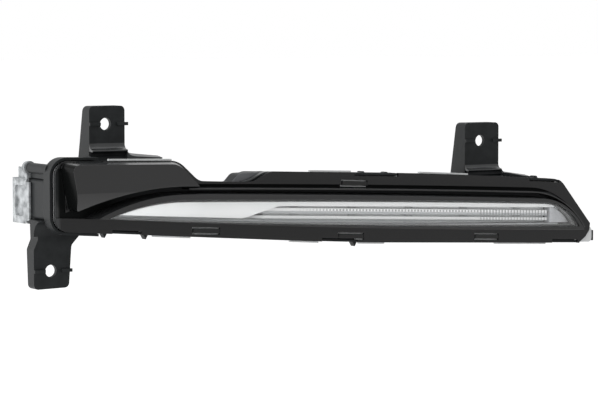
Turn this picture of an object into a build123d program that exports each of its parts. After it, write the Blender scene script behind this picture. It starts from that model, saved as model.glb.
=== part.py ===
from build123d import *
import math
import os

# Vehicle indicator lamp, left hand front bumper.
# Millimetres. +Z up, the lamp shines towards -Y, +X runs along its length.
# Origin: centre of the upper left screw hole, on the front face of its lug.
# A "height" is a distance in front of that face, so height h lies at Y = -h.

# Front outline of the lamp, seen from the front
outline_left = -44.5
outline_top = -20.4
outline_height = 42.0
left_corner_radius = 9.0
wing_run = 83.5
first_sweep_run = 14.5
first_sweep_drop = 13.0
waist_run = 39.0
waist_drop = 1.9
second_sweep_run = 11.5
second_sweep_rise = 6.3
top_run = 229.0
top_drop = 12.0
top_bow = 1.3
end_run = 29.5
end_drop = 35.3
end_face = 9.4
bottom_bow = 3.0
first_sweep_radius = 15.0
waist_radius = 10.0
second_sweep_radius = 12.0
shoulder_radius = 12.0
heel_radius = 3.5

# Window: a leaf with a pointed nose at the left and a round shoulder at the right
nose_x = -15.4
nose_z = -55.2
crown_x = 40.0
crown_z = -45.9
shoulder_inset = 22.0
shoulder_z = -57.2
shoulder_lead = 1.0
window_bow = 0.7
window_sag = 1.9
toe_inset = 23.0
toe_z = -74.6
nose_lead = 1.9
toe_lead = 1.7

# Front surround
flange_height = 18.5
flange_thickness = 2.0
surround_front = flange_height + 15.5
wing_front = flange_height + 16.5
wing_wall = 2.0
wing_lean = 7.5
wing_draft = 0.9
wing_side_lean = 5.0
wing_bottom_z = -50.5
bead_width = 2.3
bead_flare = 1.2
bead_draft = 1.2
pocket_grow = 1.4
channel_grow = 6.1
channel_flare = 2.4
channel_reach = 13.0
channel_depth = 1.3
channel_sill = 0.6
channel_rim = 0.7
brow_grow = 7.1
brow_front = flange_height + 10.5
brow_left = 42.0
groove_grow = 9.0
groove_lead = 0.3
toe_cut = [(-3.4, 14.0), (-4.3, 8.7), (-7.5, 4.7), (-12.5, 1.2), (-13.5, -3.0), (3.0, -3.0), (3.0, 14.0)]
wing_crease_z = -39.5
wing_tuck = 6.5
wing_tuck_drop = 13.0
wing_tuck_turn = 0.12
wing_side_gap = 3.4
wing_top_gap = 0.9
wing_toe_rise = -0.4
wing_heel_drop = 2.2
wing_radii = [4.0, 12.0, 2.0, 1.0, 3.0]
notch_depth = 2.4
band_height = 8.0
snap_window_length = 20.0
snap_window_height = 4.4
snap_window_tilt = -3.0
snap_tab_gap = 0.8
snap_tab_recess = 0.5
top_snap_inset = 7.0
bottom_snap_inset = 4.0

# Lens
lens_wall = 2.2
lens_edge_gap = 0.6
lens_front = flange_height + 13.6
lens_clearance = 0.3
skirt_thickness = 2.0
strip_reach = 1.0
seal_thickness = 1.0
seal_margin = 0.2

# Housing
housing_wall = 2.2
housing_inset = 1.5
housing_back = 15.0
collar_reach = 1.9
collar_gap = 0.3
collar_back_height = flange_height - 9.5
collar_lip_height = flange_height - 1.1
collar_right = -14.0
body_left = -12.5
barrel_left = -44.2
barrel_top = -32.0
barrel_bottom = -57.5
barrel_radius = 3.0
sink_boss_x = -43.2
sink_boss_z = -26.0
sink_boss_radius = 3.1
screw_hole_radius = 1.3
frame_boss_side = 5.6
screw_shank_radius = 1.2
screw_clearance = 0.2
head_sides = 6
shank_sides = 8
frame_screw_head = (2.9, 2.0)
frame_screw_length = 13.0
frame_screw_inset = 7.4
frame_screw_drop = 12.6
led_screw_head = (1.9, 1.3)
led_screw_radius = 1.0
led_screw_length = 6.0
driver_screw_head = (2.4, 1.5)
driver_screw_length = 4.0
hook_depth = 4.5
hook_root = 1.6
top_hook_radius = 1.9
top_hook_inset = 0.9
bottom_hook_radius = 3.0
bottom_hook_inset = 0.2
notch_block_trim = 0.8
notch_block_inset = 0.2
notch_block_rise = 1.0
stop_reach = 0.8
stop_tall = 7.0
stop_rise = 5.1
stop_gap = 0.2
stop_depth = 7.5
fairing_height = flange_height - 4.5
fairing_depth = 10.0
fairing_run = 15.0
fairing_crest_run = 7.0
fairing_crest_drop = 1.2
fairing_end_drop = 0.6
fairing_radii = [1.0, 5.0, 1.0, 1.0]
sink_boss_height = 8.0
sink_boss_side = 5.4
driver_boss_side = 4.6
frame_hole_depth = 14.0
sink_hole_depth = 9.0
driver_hole_depth = 2.8
back_rib_height = 2.5
back_rib_width = 1.8
back_rib_pitch = 38.0
back_rib_count = 8
back_rib_start = 20.0
back_rib_tilt = -3.0
back_rib_margin = 3.0

# Screw lugs
lug_hole_radius = 3.75
lug_plate = 3.0
lug_rib = 2.2
top_lug_radii = [3.0, 3.0, 5.0, 0.0, 0.0]
lower_lug_radii = [3.0, 3.0, 4.0, 4.0, 0.0, 0.0, 3.0, 3.0]
lug_foot_radius = collar_back_height + 0.6
right_lug_x = 281.2
right_lug_z = -16.9
lower_lug_x = -37.4
lower_lug_z = -87.7
locating_rib = 2.0
locating_rib_proud = 1.5
locating_rib_length = 7.2
locating_rib_left = 3.6
locating_rib_right = 1.9
lug_foot_rise = 6.0
lug_foot_flare = 5.0
lug_foot_gap = 0.6
lug_web_rise = 3.4
lug_web_length = 27.0
lug_web_depth = 6.0
lug_web_start = 6.0
upper_lug_size = (-11.1, 13.1, 11.0)
upper_lug_depths = (8.4, 15.5)
right_lug_size = (-12.4, 15.3, 12.0)
right_lug_depths = (10.0, 17.0)
lower_lug_size = (-11.3, 12.0, -11.0)
lower_lug_depths = (8.3, 11.0)
lower_lug_neck_left = -8.6
lower_lug_neck_foot = 19.0
lower_lug_neck_top = 13.0
lower_lug_neck_right = 13.8
lower_lug_neck_rise = 15.0
lower_lug_heel = (19.5, 21.0)
lower_lug_foot_right = 21.0

# Optics inside the lens
strip_slope = 0.046
guide_anchor_x = 190.0
upper_guide_z = -59.1
upper_guide_height = 3.8
lower_guide_z = -63.2
lower_guide_height = 2.0
guide_depth = 4.5
guide_back_height = flange_height + 2.0
guide_feed_y = -8.0
guide_feed_x = -30.0
guide_rise_x = 60.0
guide_full_x = 95.0
guide_end_lead = 7.0
guide_bend_radius = 9.0
upper_teeth_x = 100.0
lower_teeth_x = 262.0
tooth_pitch = 1.9
tooth_depth = 0.8
blade_thickness = 1.8
blade_height = flange_height + 7.7
blade_shrink = 1.4
blade_tip_z = -53.6
blade_waist_x = 80.0
blade_waist_z = -58.9
blade_step_x = 106.0
blade_strip_width = 2.2
reflector_height = flange_height - 1.0
reflector_thickness = 1.6
frame_wall = 1.0
frame_plate = 2.0
frame_gap = 0.3
flute_count = 4
flute_height = 0.6
clip_count = 5
clip_width = 5.0
clip_gap = 0.1
fit = 0.3
led_height = 1.2
led_width = 3.5
led_tall = 3.0
led_margin = 0.2
slot_before = 4.0
slot_after = 5.0
slot_margin = 1.2
slot_height = 20.0
flute_width = 0.8
flute_pitch = 1.5
flute_offset = 0.6
flute_shift = 20.0
blade_end = 3.0
blade_tip_radius = 0.5
blade_waist_radius = 9.0
blade_step_radius = 16.0
clip_margin = 1.0

# Boards, heat sink and connector
board_thickness = 1.6
board_gap = 0.8
led_screw_inset = 3.0
pad_inset = 0.5
pad_notch = 4.6
led_hole_radius = 1.2
led_boss_hole_radius = 1.1
led_boss_hole_depth = 5.0
led_board_y = 11.6
pad_thickness = 0.5
gasket_thickness = 1.0
gasket_margin = 0.2
gasket_band = 1.9
sink_left = -46.0
sink_right = -3.0
sink_top = -32.5
sink_bottom = -60.0
sink_flange = 3.0
sink_depth = 18.5
fin_count = 7
fin_width = 2.0
ear_radius = 4.0
ear_neck_width = 7.0
ear_neck_height = 13.0
ear_neck_shift = 1.5
sink_corner_radius = 2.0
sink_rim_width = 1.5
sink_rim_reach = 4.0
sink_rim_margin = 2.0
sink_web_width = 4.4
sink_block_width = 9.0
sink_block_height = 6.5
sink_block_left = 3.0
sink_block_start = 3.0
sink_block_end = 2.0
slot_start = 1.5
slot_shift = 1.2
slot_trim = 0.6
slot_length = 60.0
panel_depth = 1.2
panel_margin_y = 3.5
panel_margin_z = 4.5
panel_radius = 1.5
sink_screw_inset = 4.0
sink_screw_head = (3.2, 2.2)
sink_screw_bite = 7.0
driver_left = 14.0
driver_length = 92.0
driver_height = 19.0
driver_z = -52.0
driver_y = 8.0
driver_screw_left = 14.0
driver_blocks = [
    (32.0, 0.0, 7.0, 7.0, 1.2),
    (44.0, 3.0, 7.5, 7.5, 3.2),
    (44.0, -5.5, 5.0, 2.6, 1.8),
    (32.0, -6.5, 5.0, 2.6, 1.8),
]
driver_can_inset = 16.0
driver_can_levels = [3.4, -4.4]
can_side = 6.2
can_height = 3.5
lead_thickness = 0.3
lead_width = 7.0
lead_rise = 0.5
lead_bend = 4.0
lead_tuck = 3.0
lead_run = 9.0
driver_screw_inset = 3.8
connector_x = 75.0
connector_z = -52.0
connector_width = 24.0
connector_depth = 15.0
connector_tall = 12.0
connector_wall = 1.5
connector_neck = 2.0
connector_floor = 4.0
connector_seal_margin = 0.3
latch_width = 5.0
latch_height = 1.5
latch_start = 5.0
latch_length = 4.0
pin_count = 4
pin_pitch = 4.0
pin_side = 0.8
pin_recess = 6.0
pin_gap = 0.1
connector_radius = 2.0
vent_x = 230.0
vent_z = -60.0
vent_port_radius = 5.0
vent_port_length = 6.0
vent_wall = 1.6
membrane_thickness = 0.4
membrane_margin = 0.3
cap_gap = 0.1
cap_lift = 2.0
cap_roof = 3.1
cap_slot = 2.0


def front(height):
    """Sketch plane at a height in front of the lug face, X right and Z up."""
    return Plane.XZ.offset(height)


def save(builder, label):
    """Name a finished piece and write it."""
    builder.part.label = label
    export_step(builder.part, f"parts/{label}.step")


os.makedirs("parts", exist_ok=True)

# Corners of the lamp outline, worked round clockwise from the upper left
wing_end = (outline_left + wing_run, outline_top - 2.0)
waist_start = (wing_end[0] + first_sweep_run, wing_end[1] - first_sweep_drop)
waist_end = (waist_start[0] + waist_run, waist_start[1] - waist_drop)
top_start = (waist_end[0] + second_sweep_run, waist_end[1] + second_sweep_rise)
top_end = (top_start[0] + top_run, top_start[1] - top_drop)
top_middle = ((top_start[0] + top_end[0]) / 2, (top_start[1] + top_end[1]) / 2 + top_bow)
end_top = (top_end[0] + end_run, top_end[1] - end_drop)
end_bottom = (end_top[0], end_top[1] - end_face)
left_bottom = (outline_left, outline_top - outline_height)
bottom_middle = (
    (end_bottom[0] + left_bottom[0]) / 2,
    (end_bottom[1] + left_bottom[1]) / 2 - bottom_bow,
)
outline_right = end_top[0]
shoulder_x = top_end[0] - shoulder_inset
toe_x = outline_right - toe_inset
guide_end_x = shoulder_x + guide_end_lead
sill_slope = (toe_z - nose_z) / (toe_x - nose_x)

with BuildSketch() as outline:
    with BuildLine():
        FilletPolyline(
            (outline_left, outline_top),
            wing_end,
            waist_start,
            waist_end,
            top_start,
            top_middle,
            top_end,
            end_top,
            end_bottom,
            bottom_middle,
            left_bottom,
            radius=[
                left_corner_radius,
                first_sweep_radius,
                waist_radius,
                second_sweep_radius,
                second_sweep_radius,
                10 * top_run,
                shoulder_radius,
                heel_radius,
                heel_radius,
                10 * top_run,
                left_corner_radius,
            ],
            close=True,
        )
    make_face()


def grown(amount):
    """The lamp outline grown, or shrunk where the amount is negative."""
    with BuildSketch(mode=Mode.PRIVATE) as face:
        add(outline.sketch)
        offset(amount=amount, kind=Kind.ARC)
    return face.sketch


def leaf(grow, flare=0.0, reach=0.0, lead=shoulder_lead):
    """The window's leaf outline grown all round.

    Flare lifts the crown end further, reach draws out the nose, and lead is how
    much sooner the shoulder begins for each millimetre grown.
    """
    rise = grow + flare
    nose = (nose_x - nose_lead * rise - reach, nose_z + 0.1 * rise)
    crown = (crown_x, crown_z + rise)
    shoulder = (shoulder_x - lead * grow, shoulder_z + grow)
    toe = (toe_x + toe_lead * grow, toe_z - grow)
    middle = ((crown[0] + shoulder[0]) / 2, (crown[1] + shoulder[1]) / 2 + window_bow)
    sill = ((nose[0] + toe[0]) / 2, (nose[1] + toe[1]) / 2 - window_sag)
    with BuildSketch(mode=Mode.PRIVATE) as face:
        with BuildLine():
            top = ThreePointArc(crown, middle, shoulder)
            TangentArc(crown, nose, tangent=(top % 0) * -1)
            TangentArc(shoulder, toe, tangent=top % 1)
            ThreePointArc(toe, sill, nose)
        make_face()
    return face.sketch


def strip_z(x, level):
    """Z of a line that runs along the guides, where it passes a given X."""
    return level - (x - guide_anchor_x) * strip_slope


def top_z(x):
    """Z of the outline's long top edge at a given X."""
    return top_start[1] - (x - top_start[0]) * top_drop / top_run + top_bow / 2


def bottom_z(x):
    """Z of the outline's long bottom edge at a given X."""
    half = (end_bottom[0] - left_bottom[0]) / 2
    bow = bottom_bow * (1 - abs(x - bottom_middle[0]) / half)
    fall = (end_bottom[1] - left_bottom[1]) / (2 * half)
    return left_bottom[1] + (x - left_bottom[0]) * fall - bow


def above_sill():
    """Everything above the straight line from the window's nose to its toe."""
    left = outline_left - 2 * collar_reach
    right = outline_right + 2 * collar_reach
    with BuildSketch(mode=Mode.PRIVATE) as face:
        with BuildLine():
            Polyline(
                (left, nose_z - channel_sill + (left - nose_x) * sill_slope),
                (right, nose_z - channel_sill + (right - nose_x) * sill_slope),
                (right, 0),
                (left, 0),
                close=True,
            )
        make_face()
    return face.sketch


def beyond(x, side):
    """A half plane to keep: everything right of x where side is 1, left of it where -1."""
    far = 2 * outline_right
    with BuildSketch(mode=Mode.PRIVATE) as face:
        with Locations((x + side * far / 2, 0)):
            Rectangle(far, far)
    return face.sketch


# Places along the edges: clear strips, snap hooks and their notches, snap windows
top_strips = [(14.0, 43.0, outline_top), (150.5, 31.0, top_z(150.5)), (238.5, 39.0, top_z(238.5))]
bottom_strips = [(35.5, 26.0), (131.0, 21.0), (182.0, 19.5), (outline_right - 61.0, 42.0)]
right_notch_x = top_end[0] - 13.5
right_hook_x = top_end[0] - 17.0
right_snap_x = outline_right - 90.5
top_notches = [
    (-21.5, 18.0, outline_top),
    (184.5, 34.0, top_z(184.5)),
    (right_notch_x, 25.0, top_z(right_notch_x)),
]
bottom_notches = [(3.5, 20.0), (156.5, 27.0), (outline_right - 25.0, 22.0)]
top_hooks = [
    (-27.0, outline_top),
    (177.0, top_z(177.0)),
    (195.0, top_z(195.0)),
    (right_hook_x, top_z(right_hook_x)),
]
bottom_hooks = [-9.0, 19.0, 171.0]
snap_windows = [
    (58.5, bottom_z(58.5) + bottom_snap_inset),
    (165.0, bottom_z(165.0) + bottom_snap_inset),
    (right_snap_x, bottom_z(right_snap_x) + bottom_snap_inset),
    (167.5, top_z(167.5) - top_snap_inset),
]

with BuildSketch() as strips:
    for x, length, z in top_strips:
        with Locations((x, z)):
            Rectangle(length, band_height)
    for x, length in bottom_strips:
        with Locations((x, bottom_z(x))):
            Rectangle(length, band_height)



def notch_row(trim):
    """The notches along the top and bottom edges, each shortened by trim."""
    with BuildSketch(mode=Mode.PRIVATE) as row:
        for x, length, z in top_notches:
            with Locations((x, z)):
                Rectangle(length - trim, band_height)
        for x, length in bottom_notches:
            with Locations((x, bottom_z(x))):
                Rectangle(length - trim, band_height)
    return row.sketch


skirt_back = flange_height - skirt_thickness
snap_tab_length = snap_window_length - snap_tab_gap
snap_tab_height = snap_window_height - 2 * snap_tab_gap
rim_height = skirt_back - seal_thickness

wing_left = outline_left + wing_side_gap

# Front surround: flange, wing, brow and the bead round the window


def wing_outline(lean, inset):
    """Wing outline: follows the outline's corner, its right end leaning back by lean."""
    with BuildSketch(mode=Mode.PRIVATE) as face:
        with BuildLine():
            FilletPolyline(
                (wing_left + inset, outline_top - wing_top_gap - inset),
                (wing_end[0] - lean, wing_end[1] + wing_toe_rise - inset),
                (waist_start[0] - lean, waist_start[1] - wing_heel_drop),
                (waist_start[0] - lean, wing_bottom_z),
                (wing_left + wing_side_lean + inset, wing_bottom_z),
                radius=wing_radii,
                close=True,
            )
        make_face()
    return face.sketch


def wing_block(inset):
    """The wing as a block, its faces moved in by inset, over the channel round the window."""
    nose_front = wing_front - inset
    with BuildPart(mode=Mode.PRIVATE) as block:
        with BuildSketch(front(flange_height)):
            add(wing_outline(0.0, inset))
        with BuildSketch(front(nose_front)):
            add(wing_outline(wing_lean, inset + wing_draft))
        loft()
        with BuildSketch(Plane.YZ.offset(outline_left)):
            with BuildLine():
                start = (-nose_front, wing_crease_z)
                end = (-nose_front + wing_tuck, wing_crease_z - wing_tuck_drop)
                TangentArc(start, end, tangent=(wing_tuck_turn, -1))
                Polyline(end, (-wing_front - 1, end[1]), (-wing_front - 1, start[1]), start)
            make_face()
        extrude(amount=wing_run, mode=Mode.SUBTRACT)
        with BuildSketch(front(flange_height)):
            add(leaf(channel_grow + inset, channel_flare, channel_reach))
        extrude(amount=wing_front, mode=Mode.SUBTRACT)
    return block.part


with BuildPart() as surround:
    with BuildSketch(front(flange_height)):
        add(outline.sketch)
        with BuildLine():
            Polyline(*[(outline_right + x, end_bottom[1] + z) for x, z in toe_cut], close=True)
        make_face(mode=Mode.SUBTRACT)
    extrude(amount=flange_thickness)
    with BuildSketch(front(flange_height + flange_thickness)):
        add(leaf(groove_grow, lead=groove_lead))
        add(beyond(brow_left, 1), mode=Mode.INTERSECT)
        add(leaf(channel_grow, channel_flare, channel_reach))
        with Locations((wing_left, crown_z)):
            Rectangle(2 * wing_side_gap, outline_height)
        add(above_sill(), mode=Mode.INTERSECT)
        add(grown(-channel_rim), mode=Mode.INTERSECT)
    extrude(amount=-channel_depth, mode=Mode.SUBTRACT)
    add(wing_block(0.0))
    add(wing_block(wing_wall), mode=Mode.SUBTRACT)
    with BuildSketch(front(flange_height)):
        add(leaf(brow_grow))
        add(leaf(channel_grow), mode=Mode.SUBTRACT)
        add(beyond(brow_left, 1), mode=Mode.INTERSECT)
        add(above_sill(), mode=Mode.INTERSECT)
        add(outline.sketch, mode=Mode.INTERSECT)
    extrude(amount=brow_front - flange_height)
    with BuildSketch(front(flange_height)):
        add(leaf(bead_width + bead_draft, bead_flare))
    with BuildSketch(front(surround_front)):
        add(leaf(bead_width, bead_flare))
    loft()
    with BuildSketch(front(flange_height)):
        add(leaf(pocket_grow))
    extrude(amount=lens_front + lens_clearance - flange_height, mode=Mode.SUBTRACT)
    with BuildSketch(front(flange_height)):
        add(leaf(0.0))
    extrude(amount=wing_front, mode=Mode.SUBTRACT)
    with BuildSketch(front(flange_height)):
        add(notch_row(0.0))
        add(grown(-notch_depth), mode=Mode.SUBTRACT)
        for x, z in snap_windows:
            with Locations((x, z)):
                Rectangle(snap_window_length, snap_window_height, rotation=snap_window_tilt)
    extrude(amount=flange_thickness, mode=Mode.SUBTRACT)
    with BuildSketch(front(flange_height)):
        for x, z in snap_windows:
            with Locations((x + snap_tab_gap, z)):
                Rectangle(snap_tab_length, snap_tab_height, rotation=snap_window_tilt)
    extrude(amount=flange_thickness - snap_tab_recess)
save(surround, "black_surround")

# Outer lens: a skirt under the flange and a dome that fills the window

with BuildPart() as lens:
    with BuildSketch(front(skirt_back)):
        add(grown(-lens_edge_gap))
        add(grown(strip_reach))
        add(strips.sketch, mode=Mode.INTERSECT)
        add(grown(-lens_edge_gap))
        add(notch_row(0.0), mode=Mode.SUBTRACT)
        add(grown(-notch_depth))
    extrude(amount=skirt_thickness)
    with BuildSketch(front(skirt_back)):
        add(leaf(pocket_grow - lens_clearance))
    extrude(amount=lens_front - skirt_back)
    with BuildSketch(front(skirt_back)):
        add(leaf(pocket_grow - lens_clearance - lens_wall))
    extrude(amount=lens_front - lens_wall - skirt_back, mode=Mode.SUBTRACT)
save(lens, "outer_lens")

# Seal between the lens skirt and the housing rim

with BuildPart() as seal:
    with BuildSketch(front(rim_height)):
        add(grown(-housing_inset - seal_margin))
        add(grown(-housing_inset - housing_wall + seal_margin), mode=Mode.SUBTRACT)
    extrude(amount=seal_thickness)
save(seal, "lens_seal")

# Housing: a tray with a collar and a barrel at its left end, screw lugs and bosses

frame_screw_x = [0.0, top_end[0] - 108.0, top_end[0] - 33.0]
frame_screws = [
    (frame_screw_x[0], outline_top - frame_screw_drop),
    (frame_screw_x[1], top_z(frame_screw_x[1]) - frame_screw_inset),
    (frame_screw_x[2], bottom_z(frame_screw_x[2]) + frame_screw_inset),
]
sink_screws = [
    (sink_boss_x, sink_boss_z),
    (sink_right - sink_screw_inset, sink_top - sink_screw_inset),
    (sink_right - sink_screw_inset, sink_bottom + sink_screw_inset - 1.5),
]
driver_screw_level = driver_height / 2 - driver_screw_inset
driver_screws = [
    (driver_left + driver_screw_left, driver_z - driver_screw_level),
    (driver_left + driver_length - driver_screw_inset, driver_z + driver_screw_level),
]
floor_y = housing_back - housing_wall
neck_width = connector_width - 2 * connector_neck
neck_tall = connector_tall - 2 * connector_neck
inside_inset = housing_inset + housing_wall
collar_floor = collar_back_height + housing_wall
fairing_foot_z = waist_end[1] - 2 * housing_inset
fairing_right = top_start[0] + lug_foot_flare - 1.0


def lug(corners, radii, hole, foot_z, up, tip_depth, foot_depth):
    """A screw lug: a plate with a rib round its back edge that deepens towards the foot."""
    left = corners[0][0]
    right = corners[1][0]
    tip_z = corners[0][1]
    with BuildSketch(mode=Mode.PRIVATE) as shape:
        with BuildLine():
            FilletPolyline(*corners, radius=radii, close=True)
        make_face()
    with BuildPart(mode=Mode.PRIVATE) as block:
        with BuildSketch(front(0)):
            add(shape.sketch)
        extrude(amount=-foot_depth)
        with BuildSketch(Plane.YZ.offset(left)):
            with BuildLine():
                TangentArc((0, foot_z + up * lug_foot_radius), (-lug_foot_radius, foot_z), tangent=(0, -up))
                Polyline((-lug_foot_radius, foot_z), (0, foot_z), (0, foot_z + up * lug_foot_radius))
            make_face()
        extrude(amount=right - left)
        with BuildSketch(front(-lug_plate)):
            add(shape.sketch)
            offset(amount=-lug_rib)
        extrude(amount=-foot_depth, mode=Mode.SUBTRACT)
        with BuildSketch(Plane.YZ.offset(left - foot_depth)):
            with BuildLine():
                Polyline(
                    (tip_depth, tip_z + up),
                    (foot_depth, foot_z),
                    (foot_depth + 1, foot_z),
                    (foot_depth + 1, tip_z + up),
                    close=True,
                )
            make_face()
        extrude(amount=right - left + 2 * foot_depth, mode=Mode.SUBTRACT)
        with BuildSketch(front(0)):
            with Locations((left + locating_rib_left, hole[1]), (right - locating_rib_right, hole[1])):
                Rectangle(locating_rib_length, locating_rib)
        extrude(amount=locating_rib_proud)
        with BuildSketch(front(-lug_plate)):
            with Locations(hole):
                Circle(lug_hole_radius)
        extrude(amount=lug_plate + locating_rib_proud, mode=Mode.SUBTRACT)
    return block.part


def top_lug(hole, size, foot_z, depths):
    """A lug that stands up from the top edge, its right side flared at the foot."""
    left = hole[0] + size[0]
    right = hole[0] + size[1]
    tip = hole[1] + size[2]
    corners = [
        (left, tip),
        (right, tip),
        (right, foot_z + lug_foot_rise),
        (right + lug_foot_flare, foot_z),
        (left, foot_z),
    ]
    return lug(corners, top_lug_radii, hole, foot_z, 1, *depths)


upper_foot = wing_end[1] - housing_inset - lug_foot_gap
right_foot = top_z(right_lug_x) - housing_inset - lug_foot_gap
lower_foot = barrel_bottom + 0.5
upper_lug = top_lug((0.0, 0.0), upper_lug_size, upper_foot, upper_lug_depths)
right_lug = top_lug((right_lug_x, right_lug_z), right_lug_size, right_foot, right_lug_depths)
lower_lug_left = lower_lug_x + lower_lug_size[0]
lower_lug = lug(
    [
        (lower_lug_left, lower_lug_z + lower_lug_size[2]),
        (lower_lug_x + lower_lug_size[1], lower_lug_z + lower_lug_size[2] + 0.5),
        (lower_lug_x + lower_lug_neck_right, lower_lug_z + lower_lug_neck_rise),
        (lower_lug_x + lower_lug_heel[0], lower_lug_z + lower_lug_heel[1]),
        (lower_lug_x + lower_lug_foot_right, lower_foot),
        (lower_lug_x + lower_lug_neck_left, lower_foot),
        (lower_lug_x + lower_lug_neck_left, lower_lug_z + lower_lug_neck_foot),
        (lower_lug_left, lower_lug_z + lower_lug_neck_top),
    ],
    lower_lug_radii,
    (lower_lug_x, lower_lug_z),
    lower_foot,
    -1,
    *lower_lug_depths,
)

lug_webs = [
    (upper_lug_size[1], upper_foot, (wing_end[1] - outline_top) / wing_run),
    (right_lug_x + right_lug_size[1], right_foot, -top_drop / top_run),
]

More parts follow.
